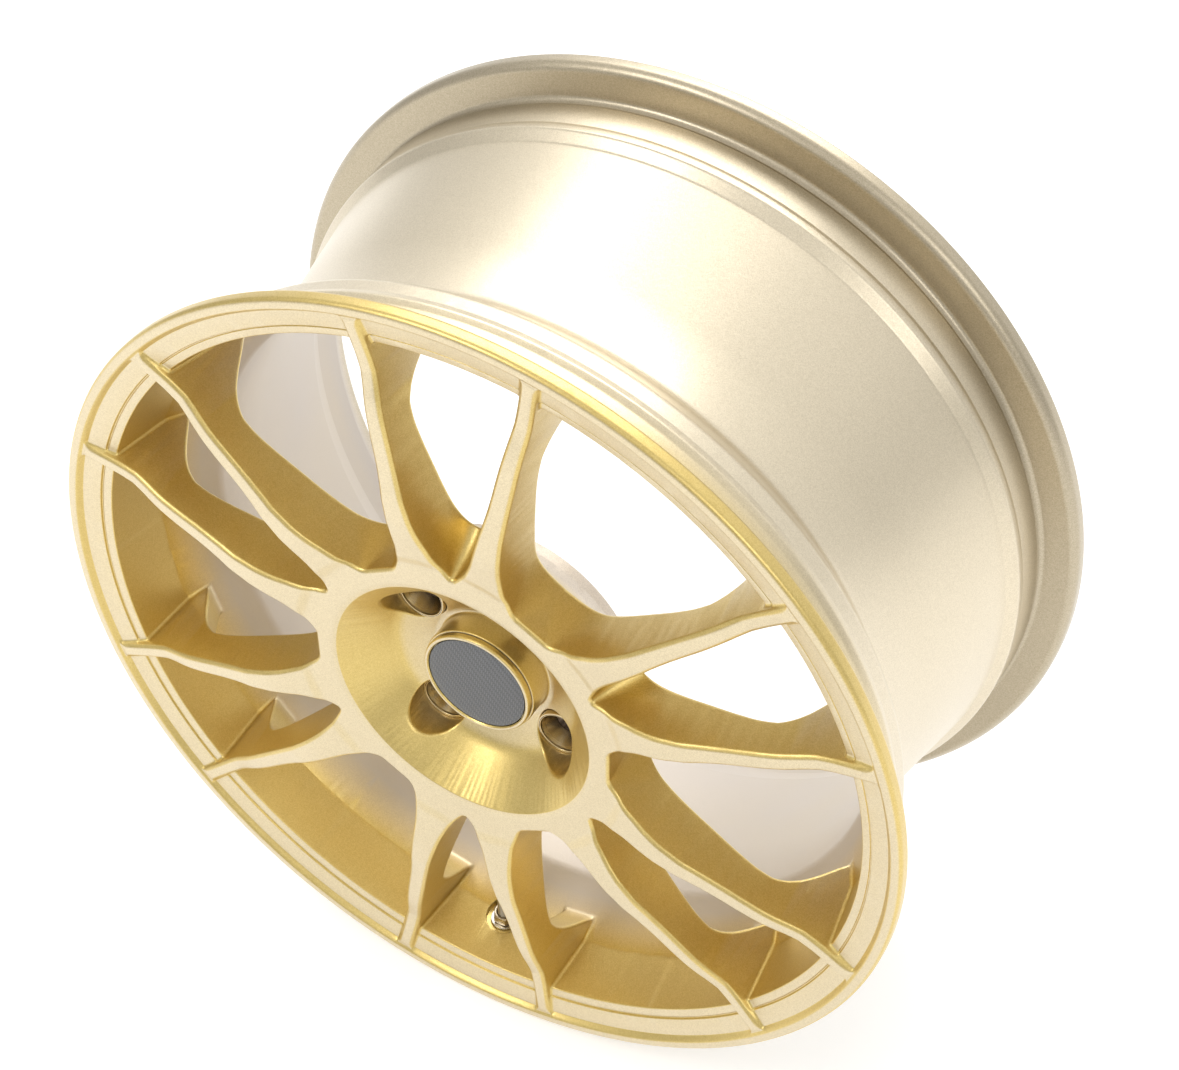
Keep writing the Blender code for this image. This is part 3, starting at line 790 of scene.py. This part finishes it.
# --- materials
class Paint:
    """A Principled material put together node by node."""

    def __init__(self, name, **values):
        self.material = bpy.data.materials.new(name)
        self.material.use_nodes = True
        self.tree = self.material.node_tree
        self.shader = self.tree.nodes["Principled BSDF"]
        self.place = self.node("ShaderNodeTexCoord").outputs["Object"]
        for key, value in values.items():
            self.shader.inputs[key.replace("_", " ").title()].default_value = value

    def node(self, kind, inputs=(), **settings):
        node = self.tree.nodes.new(kind)
        for key, value in settings.items():
            setattr(node, key, value)
        for key, value in dict(inputs).items():
            self.feed(node.inputs[key], value)
        return node

    def feed(self, socket, value):
        if isinstance(value, bpy.types.NodeSocket):
            self.tree.links.new(value, socket)
        else:
            socket.default_value = value

    def math(self, operation, *values):
        node = self.node("ShaderNodeMath", operation=operation)
        for socket, value in zip(node.inputs, values):
            self.feed(socket, value)
        return node.outputs[0]

    def noise(self, scale, detail, place=None):
        inputs = {"Vector": place or self.place, "Scale": scale, "Detail": detail}
        return self.node("ShaderNodeTexNoise", inputs).outputs["Fac"]

    def between(self, factor, low, high):
        """low and high colours mixed by a factor."""
        node = self.node("ShaderNodeMix", data_type="RGBA")
        self.feed(node.inputs[0], factor)
        self.feed(node.inputs[6], low)
        self.feed(node.inputs[7], high)
        return node.outputs[2]

    def ranged(self, value, from_low, from_high, low, high):
        """value moved from one range to another and kept inside it."""
        inputs = {0: value, 1: from_low, 2: from_high, 3: low, 4: high}
        return self.node("ShaderNodeMapRange", inputs, clamp=True).outputs[0]

    def groove(self, name="groove"):
        """A number kept per point of the mesh."""
        return self.node("ShaderNodeAttribute", attribute_name=name).outputs["Fac"]

    def bump(self, height, distance, normal=None, strength=1.0):
        inputs = {"Height": height, "Distance": distance, "Strength": strength}
        if normal is not None:
            inputs["Normal"] = normal
        return self.node("ShaderNodeBump", inputs).outputs["Normal"]

    def set(self, key, value):
        self.feed(self.shader.inputs[key], value)


def gold_paint(name):
    """Satin metallic paint: gold flake under a semi-matt clear coat. It is thinner where bare is 1,
    paler on the front faces and where pale is 1, and darker on the rear flange. The paler front faces
    are a painted reflection, the paler barrel outside is a painted highlight, the darker rear flange is
    painted shade, and inward-facing bare surfaces are darkened as painted shade.
    """
    paint = Paint(name, metallic=0.97, coat_weight=0.45, coat_roughness=0.3)
    bare = paint.groove("bare")
    flakes = paint.node("ShaderNodeTexVoronoi", {"Vector": paint.place, "Scale": 2600.0})
    tone = paint.node("ShaderNodeSeparateColor", {"Color": flakes.outputs["Color"]}).outputs[0]
    cloud = paint.noise(9.0, 3.0)
    deep = paint.between(tone, (0.62, 0.455, 0.14, 1), (0.74, 0.57, 0.215, 1))
    # Paler gold that stands for light: painted highlight on the barrel's outside, painted reflection on front
    # faces.
    painted_sheen_gold = paint.between(tone, (0.64, 0.555, 0.405, 1), (0.77, 0.68, 0.515, 1))
    normal = paint.node("ShaderNodeNewGeometry").outputs["Normal"]
    faces = paint.node("ShaderNodeSeparateXYZ", {"Vector": normal})
    point = paint.node("ShaderNodeSeparateXYZ", {"Vector": paint.place})
    # Faces towards the front are made paler: a painted reflection of the bright floor and lamps.
    front = paint.ranged(faces.outputs["Y"], -0.8, -0.97, 0.0, 0.75)
    outward = [paint.math("MULTIPLY", faces.outputs[axis], point.outputs[axis]) for axis in "XZ"]
    inside = paint.math("MULTIPLY", bare, paint.math("LESS_THAN", paint.math("ADD", *outward), -0.1))
    full = paint.between(paint.math("MAXIMUM", paint.groove("pale"), front), deep, painted_sheen_gold)
    # The rear flange is made darker and greyer: painted shade, standing for the darker room it reflects.
    flange = paint.between(tone, (0.42, 0.355, 0.245, 1), (0.55, 0.475, 0.345, 1))
    full = paint.between(paint.ranged(point.outputs["Y"], 0.088, 0.096, 0.0, 1.0), full, flange)
    thin = paint.between(tone, (0.70, 0.62, 0.53, 1), (0.84, 0.755, 0.65, 1))
    # Inward-facing bare surfaces are made darker: painted shade that holds back a lamp's reflection inside
    # the barrel.
    thin = paint.between(inside, thin, (0.66, 0.605, 0.55, 1))
    uneven = paint.math("MULTIPLY", bare, paint.ranged(cloud, 0.3, 0.7, 0.84, 1.0))
    paint.set("Base Color", paint.between(uneven, full, thin))
    rough = paint.ranged(cloud, 0.3, 0.7, 0.33, 0.39)
    thinner = paint.math("ADD", paint.math("MULTIPLY", bare, 0.08), paint.math("MULTIPLY", inside, 0.2))
    paint.set("Roughness", paint.math("ADD", rough, thinner))
    peel = paint.bump(paint.noise(420.0, 1.0), 0.00004)
    paint.set("Normal", paint.bump(tone, 0.00005, peel, 0.55))
    return paint.material


def turned_metal(name, colour, roughness, depth=0.000006):
    """Machined metal with fine tool lines that run round the piece."""
    metal = Paint(name, metallic=1.0)
    line = metal.node("ShaderNodeCombineXYZ", {"X": metal.groove()}).outputs[0]
    lines = metal.noise(9.0, 3.0, line)
    stain = metal.noise(260.0, 3.0)
    dark = tuple(c * 0.82 for c in colour[:3]) + (1.0,)
    metal.set("Base Color", metal.between(metal.math("MULTIPLY", lines, stain), colour, dark))
    metal.set("Roughness", metal.ranged(stain, 0.3, 0.7, roughness - 0.05, roughness + 0.06))
    metal.set("Normal", metal.bump(lines, depth))
    return metal.material


def moulded(name, colour, roughness, scale=3000.0, depth=0.00003, light=1.35):
    """Plastic or rubber with a fine moulded grain and slight unevenness."""
    plastic = Paint(name)
    grain = plastic.noise(scale, 2.0)
    cloud = plastic.noise(180.0, 3.0)
    lighter = tuple(min(1.0, c * light) for c in colour[:3]) + (1.0,)
    plastic.set("Base Color", plastic.between(plastic.ranged(cloud, 0.3, 0.7, 0.0, 1.0), colour, lighter))
    plastic.set("Roughness", plastic.ranged(grain, 0.3, 0.7, roughness - 0.06, roughness + 0.08))
    plastic.set("Normal", plastic.bump(grain, depth))
    return plastic.material


def woven_emblem(name):
    """Dark twill weave under clear lacquer, with no mark on it."""
    weave = Paint(name, coat_weight=0.8, coat_roughness=0.06, metallic=0.2)
    tow = 1.1 * MM
    axes = weave.node("ShaderNodeSeparateXYZ", {"Vector": weave.place})
    u = weave.math("DIVIDE", axes.outputs["X"], tow)
    v = weave.math("DIVIDE", axes.outputs["Z"], tow)
    steps = weave.math("ADD", weave.math("FLOOR", u), weave.math("FLOOR", v))
    phase = weave.math("FLOORED_MODULO", steps, 4.0)
    warp = weave.math("LESS_THAN", phase, 2.0)
    across_u = weave.math("ABSOLUTE", weave.math("SINE", weave.math("MULTIPLY", u, math.pi)))
    across_v = weave.math("ABSOLUTE", weave.math("SINE", weave.math("MULTIPLY", v, math.pi)))
    picked = weave.node("ShaderNodeMix", {0: warp, 2: across_v, 3: across_u}).outputs[0]
    threads = weave.noise(4200.0, 1.0)
    height = weave.math("ADD", picked, weave.math("MULTIPLY", threads, 0.25))
    # The weave's tone is partly random thread noise and partly painted light: each tow is darker towards its
    # edges, painted shade in the creases between tows, and the warp is lighter than the weft, a painted
    # sheen.
    tone = weave.math("MULTIPLY", weave.math("ADD", weave.math("MULTIPLY", warp, 0.45), 0.55), height)
    weave.set("Base Color", weave.between(tone, (0.02, 0.021, 0.024, 1), (0.1, 0.103, 0.108, 1)))
    weave.set("Roughness", weave.ranged(picked, 0.0, 1.0, 0.5, 0.3))
    weave.set("Normal", weave.bump(height, 0.0001))
    return weave.material


# --- small pieces
def seat_finish(name):
    """Dark polished seat inside a gold painted wall. The seat is the middle of the outline's run."""
    seat = Paint(name, metallic=1.0, coat_weight=1.0, coat_roughness=0.05)
    off_middle = seat.math("ABSOLUTE", seat.math("SUBTRACT", seat.groove(), 25.0))
    wall = seat.ranged(off_middle, 9.9, 10.2, 0.0, 1.0)
    stain = seat.noise(300.0, 3.0)
    dark = seat.between(stain, (0.05, 0.034, 0.027, 1), (0.085, 0.058, 0.045, 1))
    gold = seat.between(stain, (0.66, 0.52, 0.27, 1), (0.76, 0.62, 0.36, 1))
    seat.set("Base Color", seat.between(wall, dark, gold))
    seat.set("Roughness", seat.ranged(wall, 0.0, 1.0, 0.2, 0.36))
    seat.set("Normal", seat.bump(stain, 0.00002))
    return seat.material


def make_lug_seats():
    steel = seat_finish("seat_steel")
    corners = ((13.3, 33.0, 0.5), (13.3, 48.0, 0.6), (7.6, 48.0, 0.5), (7.6, 42.6, 0.8),
               (11.7, 34.4, 0.6), (11.7, 33.0, 0.4))
    for number, angle in enumerate(LUG_ANGLES, start=1):
        add_turned(f"lug_seat_{number}", corners, lug_place(angle), 96, "wheel", "seat_steel", steel,
                   f"lug_seat_insert_{number}")


def box_mesh(place, size, turn):
    """Box of a size in millimetres in the wheel's frame: across, along the axis and radial."""
    bm = bmesh.new()
    bmesh.ops.create_cube(bm, size=1.0)
    bmesh.ops.scale(bm, vec=[side * MM for side in size], verts=bm.verts)
    bmesh.ops.translate(bm, vec=(0.0, (place - RIM_DEPTH + REAR_Y) * MM, 0.0), verts=bm.verts)
    bmesh.ops.rotate(bm, matrix=Matrix.Rotation(math.radians(-turn), 3, "Y"), verts=bm.verts)
    return mesh_of(bm, "tool")


def ring_path(radius, d, start, end, steps):
    angles = np.radians(np.linspace(start, end, steps + 1))
    return wheel_place(np.full(len(angles), radius), angles, np.full(len(angles), d))


def make_centre_cap():
    corners = ((27.9, 19.2, 0.2), (28.5, 18.4, 0.3), (29.8, 18.4, 0.9), (30.4, 19.6, 0.6),
               (30.4, 21.7, 0.3), (28.4, 21.7, 0.2), (28.4, 27.0, 0.5), (27.9, 28.0, 0.5),
               (28.4, 33.6, 0.6), (27.4, 36.0, 0.4), (26.0, 36.0, 0.3), (26.0, 23.6, 0.6),
               (0.0, 23.6, 0.0), (0.0, 21.2, 0.0), (27.9, 21.2, 0.2))
    shell = turned_mesh(corners, wheel_place, 144)
    for i in range(4):
        slot = box_mesh(32.5, (70.0, 15.0, 4.0), 22.5 + 45.0 * i)
        shell = combined(shell, slot, "DIFFERENCE")
    add_piece("cap_shell_refined", shell, "centre_cap", "cap_plastic", gold_paint("cap_paint"), "cap_shell")
    emblem = ((0.0, 18.5, 0.0), (14.0, 18.58, 30.0), (24.0, 18.8, 20.0), (27.5, 19.15, 0.4),
              (27.5, 20.3, 0.2), (0.0, 20.3, 0.0))
    add_turned("cap_emblem", emblem, wheel_place, 120, "centre_cap", "emblem", woven_emblem("emblem_weave"),
               "cap_emblem_disc")
    pad = ((0.0, 20.6, 0.0), (26.6, 20.6, 0.08), (26.6, 20.9, 0.08), (0.0, 20.9, 0.0))
    foam = moulded("adhesive_foam", (0.78, 0.77, 0.73, 1), 0.85, 1800.0, 0.0001, 1.1)
    add_turned("cap_pad", pad, wheel_place, 96, "centre_cap", "adhesive", foam, "cap_adhesive_pad")
    wire = wire_mesh(ring_path(25.0, 30.5, 4.0, 356.0, 150), 0.7 * MM)
    steel = turned_metal("spring_wire", (0.62, 0.62, 0.64, 1), 0.26)
    add_piece("cap_spring", wire, "centre_cap", "spring_wire", steel, "cap_spring_ring", sharp=50.0)
    clip = wire_mesh(ring_path(32.95, 53.2, 4.0, 356.0, 180), 0.45 * MM)
    add_piece("hub_clip", clip, "wheel", "spring_wire", steel, "hub_ring_clip", sharp=50.0)


def make_hub_ring():
    corners = ((29.05, 45.3, 0.4), (33.7, 45.3, 0.6), (33.7, 52.0, 0.15), (32.2, 52.0, 0.2),
               (32.2, 54.4, 0.2), (33.7, 54.4, 0.15), (33.7, 62.1, 0.5), (30.3, 62.1, 0.2),
               (29.05, 60.7, 0.3))
    metal = turned_metal("ring_aluminium", (0.70, 0.70, 0.72, 1), 0.3, 0.00001)
    add_turned("hub_ring", corners, wheel_place, 144, "wheel", "ring_aluminium", metal, "hub_centring_ring")


def threaded(major, depth, low, high):
    """Shape function that cuts a thread into points on the major radius between two places."""

    def shape(r, a, p):
        turn = (p / THREAD_PITCH + a / (2 * math.pi)) % 1.0
        ridge = np.abs(2 * turn - 1)
        fade = np.clip(np.minimum(p - low, high - p) / 0.8, 0, 1)
        return np.where(np.abs(r - major) < 0.02, r - depth * ridge * fade, r)

    return shape


def make_valve():
    nickel = turned_metal("valve_nickel", (0.44, 0.37, 0.26, 1), 0.34)
    corners = ((7.2, 217.7, 0.5), (7.2, 220.0, 1.0), (1.5, 220.0, 0.2), (1.5, 192.0, 0.1),
               (2.6, 192.0, 0.1), (2.6, 172.0, 0.2), (3.5, 172.0, 0.2), (3.85, 172.5, 0.2),
               (3.85, 181.5, 0.2), (4.1, 183.0, 0.2), (4.1, 217.7, 0.3))
    tip, body = threaded(3.85, 0.38, 172.6, 181.0), threaded(4.1, 0.38, 184.0, 212.0)

    def both(r, a, p):
        return body(tip(r, a, p), a, p)

    mesh = turned_mesh(corners, valve_place, 48, both, (172.4, 217.8, THREAD_PITCH / 8))
    add_piece("valve_stem_threaded", mesh, "wheel", "valve_nickel", nickel, "valve_stem", sharp=60.0)
    rubber = moulded("grommet_rubber", (0.035, 0.035, 0.035, 1), 0.7)
    corners = ((4.4, 211.6, 0.3), (5.4, 211.6, 0.4), (5.4, 215.7, 0.3), (7.8, 215.7, 0.6),
               (7.8, 217.4, 0.5), (4.4, 217.4, 0.3))
    add_turned("valve_grommet_moulded", corners, valve_place, 64, "wheel", "black_rubber", rubber,
               "valve_grommet")
    corners = ((4.4, 209.5, 0.2), (8.0, 209.5, 0.35), (8.0, 210.7, 0.35), (4.4, 210.7, 0.2))
    steel = turned_metal("washer_steel", (0.60, 0.58, 0.54, 1), 0.28)
    add_turned("valve_washer_turned", corners, valve_place, 72, "wheel", "bright_steel", steel,
               "valve_washer")
    add_piece("valve_nut_hex", nut_mesh(), "wheel", "valve_nickel", nickel, "valve_nut", sharp=20.0)


def nut_mesh():
    """Hex nut with its corners turned off at 30 degrees and a chamfered bore."""
    low, high, corner_r, bore = 203.6, 209.2, 6.93, 4.4
    flat_r = corner_r * math.cos(math.pi / 6)
    slope = math.tan(math.radians(30))
    drop = (corner_r - flat_r + 0.3) * slope
    blank = ((bore + 0.5, low, 0.0), (flat_r - 0.3, low, 0.0), (corner_r + 0.05, low + drop, 0.0),
             (corner_r + 0.05, high - drop, 0.0), (flat_r - 0.3, high, 0.0),
             (bore + 0.5, high, 0.0), (bore, high - 0.5, 0.0), (bore, low + 0.5, 0.0))
    prism = ((0.0, low - 1, 0.0), (corner_r, low - 1, 0.0), (corner_r, high + 1, 0.0),
             (0.0, high + 1, 0.0))
    return combined(turned_mesh(blank, valve_place, 96), turned_mesh(prism, valve_place, 6), "INTERSECT")


def make_valve_core():
    brass = turned_metal("core_brass", (0.68, 0.49, 0.20, 1), 0.26)
    corners = ((0.85, 174.0, 0.1), (2.25, 174.0, 0.2), (2.25, 180.5, 0.2), (1.5, 180.5, 0.1),
               (1.5, 183.5, 0.1), (2.1, 183.5, 0.2), (2.1, 185.0, 0.2), (0.85, 185.0, 0.1))
    mesh = turned_mesh(corners, valve_place, 48, threaded(2.25, 0.22, 174.2, 178.5), (174.1, 180.4, 0.1))
    add_piece("core_body", mesh, "wheel", "core_brass", brass, "valve_core_body", sharp=60.0)
    corners = ((1.8, 180.8, 0.1), (2.3, 180.8, 0.15), (2.3, 183.2, 0.15), (1.8, 183.2, 0.1))
    ptfe = moulded("gasket_ptfe", (0.82, 0.82, 0.79, 1), 0.45, 2500.0, 0.00002, 1.08)
    add_turned("core_gasket", corners, valve_place, 40, "wheel", "white_ptfe", ptfe, "valve_core_gasket")
    steel = turned_metal("core_steel", (0.64, 0.64, 0.65, 1), 0.22)
    corners = ((0.0, 172.6, 0.0), (0.8, 172.6, 0.15), (0.8, 173.2, 0.1), (0.5, 173.5, 0.1),
               (0.5, 186.9, 0.05), (1.8, 186.9, 0.12), (1.8, 187.6, 0.12), (0.5, 187.6, 0.05),
               (0.5, 196.0, 0.2), (0.0, 196.0, 0.0))
    add_turned("core_pin", corners, valve_place, 40, "valve_pin", "bright_steel", steel, "valve_core_pin")
    rubber = moulded("core_rubber", (0.03, 0.03, 0.03, 1), 0.75)
    corners = ((0.8, 185.3, 0.15), (1.8, 185.3, 0.2), (1.8, 186.6, 0.2), (0.8, 186.6, 0.15))
    add_turned("core_seal", corners, valve_place, 40, "valve_pin", "black_rubber", rubber, "valve_core_seal")
    turns, coil_r, wire_r, height = 4, 1.7, 0.22, 3.3
    share = np.linspace(0.0, 1.0, turns * 24 + 1)
    path = valve_place(np.full(len(share), coil_r), 2 * math.pi * turns * share, 188.15 + height * share)
    coil = wire_mesh(path, wire_r * MM, 10)
    spring = add_piece("core_spring", coil, "wheel", "spring_wire", steel, "valve_core_spring", sharp=50.0)
    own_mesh(spring)


def make_valve_cap():
    plastic = moulded("valve_cap_plastic", (0.032, 0.032, 0.034, 1), 0.42)
    corners = ((0.0, 167.0, 0.0), (3.9, 167.0, 0.5), (5.1, 168.3, 0.7), (5.1, 180.4, 0.5),
               (4.15, 180.4, 0.2), (4.15, 169.0, 0.3), (0.0, 169.0, 0.0))

    def knurled(r, a, p):
        ends = np.clip(np.minimum(p - 168.6, 178.6 - p) / 0.6, 0, 1)
        flute = np.maximum(np.cos(24 * a), 0.0) ** 0.7
        return np.where(r > 5.0, r - 0.3 * flute * ends, r)

    mesh = turned_mesh(corners, valve_place, 192, knurled, (167.9, 180.4, 0.5))
    add_piece("valve_cap_knurled", mesh, "valve_cap_shell", "black_plastic", plastic, "valve_cap", sharp=45.0)
    rubber = moulded("cap_rubber", (0.03, 0.03, 0.03, 1), 0.75)
    corners = ((0.0, 169.3, 0.0), (3.8, 169.3, 0.2), (3.8, 171.7, 0.3), (0.0, 171.7, 0.0))
    add_turned("valve_cap_disc", corners, valve_place, 48, "valve_cap_lifter", "black_rubber", rubber,
               "valve_cap_seal")


def make_forging():
    mesh = forging_mesh()
    set_zones(mesh)
    set_field_normals(mesh)
    add_piece("forged_wheel", mesh, "wheel", "gold_paint", gold_paint("wheel_paint"), "wheel_forging",
              sharp=None)


# --- floor, light and camera
def make_floor():
    bm = bmesh.new()
    bmesh.ops.create_grid(bm, x_segments=40, y_segments=40, size=FLOOR_HALF)
    floor = add_object("floor", mesh_of(bm, "floor"))
    floor.location.z = -FLANGE_R * MM
    pale = Paint("floor_white", roughness=0.7)
    cloud = pale.noise(1.5, 3.0)
    pale.set("Base Color", pale.between(cloud, (0.70, 0.70, 0.70, 1), (0.74, 0.74, 0.74, 1)))
    pale.set("Emission Color", (1.0, 1.0, 1.0, 1.0))
    pale.set("Emission Strength", 0.44)
    floor.data.materials.append(pale.material)
    floor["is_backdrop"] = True


def add_light(name, place, size, power):
    data = bpy.data.lights.new(name, "AREA")
    data.shape = "RECTANGLE"
    data.size, data.size_y = size
    data.energy = power
    light = add_object(name, data)
    light.location = place
    light.rotation_euler = (-Vector(place)).to_track_quat("-Z", "Y").to_euler()


def make_light():
    """A room that is dimmer low down and at the front, with soft lamps. The camera sees it white."""
    world = bpy.data.worlds.new("studio")
    world.use_nodes = True
    tree, sky = world.node_tree, world.node_tree.nodes["Background"]
    sky.inputs["Color"].default_value = (1.0, 1.0, 1.0, 1.0)
    place = tree.nodes.new("ShaderNodeTexCoord")
    axes = tree.nodes.new("ShaderNodeSeparateXYZ")
    both = tree.nodes.new("ShaderNodeMath")
    tree.links.new(place.outputs["Generated"], axes.inputs["Vector"])
    for socket, (axis, limits) in zip(both.inputs, SKY.items()):
        ramp = tree.nodes.new("ShaderNodeMapRange")
        ramp.interpolation_type = "SMOOTHSTEP"
        for limit, value in zip(list(ramp.inputs)[1:5], limits):
            limit.default_value = value
        tree.links.new(axes.outputs[axis], ramp.inputs["Value"])
        tree.links.new(ramp.outputs["Result"], socket)
    seen = tree.nodes.new("ShaderNodeMath")
    seen.operation = "MAXIMUM"
    tree.links.new(both.outputs[0], seen.inputs[0])
    tree.links.new(tree.nodes.new("ShaderNodeLightPath").outputs["Is Camera Ray"], seen.inputs[1])
    tree.links.new(seen.outputs[0], sky.inputs["Strength"])
    bpy.context.scene.world = world
    for name, lamp in LAMPS.items():
        add_light(name, *lamp)
    bpy.context.scene.view_settings.view_transform = "Standard"


def make_camera():
    data = bpy.data.cameras.new("camera")
    data.lens = CAMERA_LENS
    data.sensor_width = 36.0
    camera = add_object("camera", data)
    forward, right = Vector(CAMERA_FORWARD).normalized(), Vector(CAMERA_RIGHT).normalized()
    up = right.cross(forward)
    place = Vector(CAMERA_PLACE) + Vector((0.0, REAR_Y - RIM_DEPTH, 0.0))
    turn = Matrix((right, up, -forward)).transposed().to_4x4()
    camera.matrix_world = Matrix.Translation(place * MM) @ turn
    bpy.context.scene.camera = camera


make_forging()
make_lug_seats()
make_centre_cap()
make_hub_ring()
make_valve()
make_valve_core()
make_valve_cap()
make_floor()
make_light()
make_camera()

[[list(corner) for corner in box] for box in (CAD_BOX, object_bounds())]
